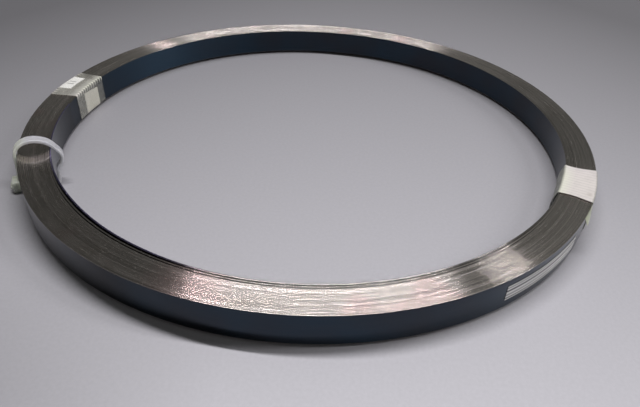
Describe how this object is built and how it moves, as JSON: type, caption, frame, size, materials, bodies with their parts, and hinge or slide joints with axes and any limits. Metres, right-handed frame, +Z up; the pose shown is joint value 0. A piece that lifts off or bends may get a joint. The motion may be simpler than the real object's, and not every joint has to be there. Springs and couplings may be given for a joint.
{
  "type": "coil of spring steel shim stock",
  "caption": "Round flat-lying coil of blue tempered spring steel strip, held by strapping tape wraps and a loose nylon tie.",
  "frame": {"origin": "on the coil's axis, at the level of the floor it lies on", "axes": "+Z up along the coil's axis; +X to the right and +Y away from the viewer of the picture, with the tie near -X and the front tape wrap near +X"},
  "size_m": [0.2551, 0.255, 0.0227],
  "materials": {
    "blue_steel": "blue tempered and polished on the walls, bare fine-slit steel on the strip's edges",
    "strapping_tape": "clear film over white glass filaments",
    "paper": "uncoated cream paper under tape",
    "label": "white paper label with plain rules",
    "nylon": "natural translucent nylon"
  },
  "bodies": {
    "root": {"strip_coil": "blue_steel", "front_tape_wrap": "strapping_tape", "rear_tape_wrap": "strapping_tape", "paper_tag": "paper", "wall_label": "label", "nylon_tie": "nylon"}
  },
  "joints": []
}
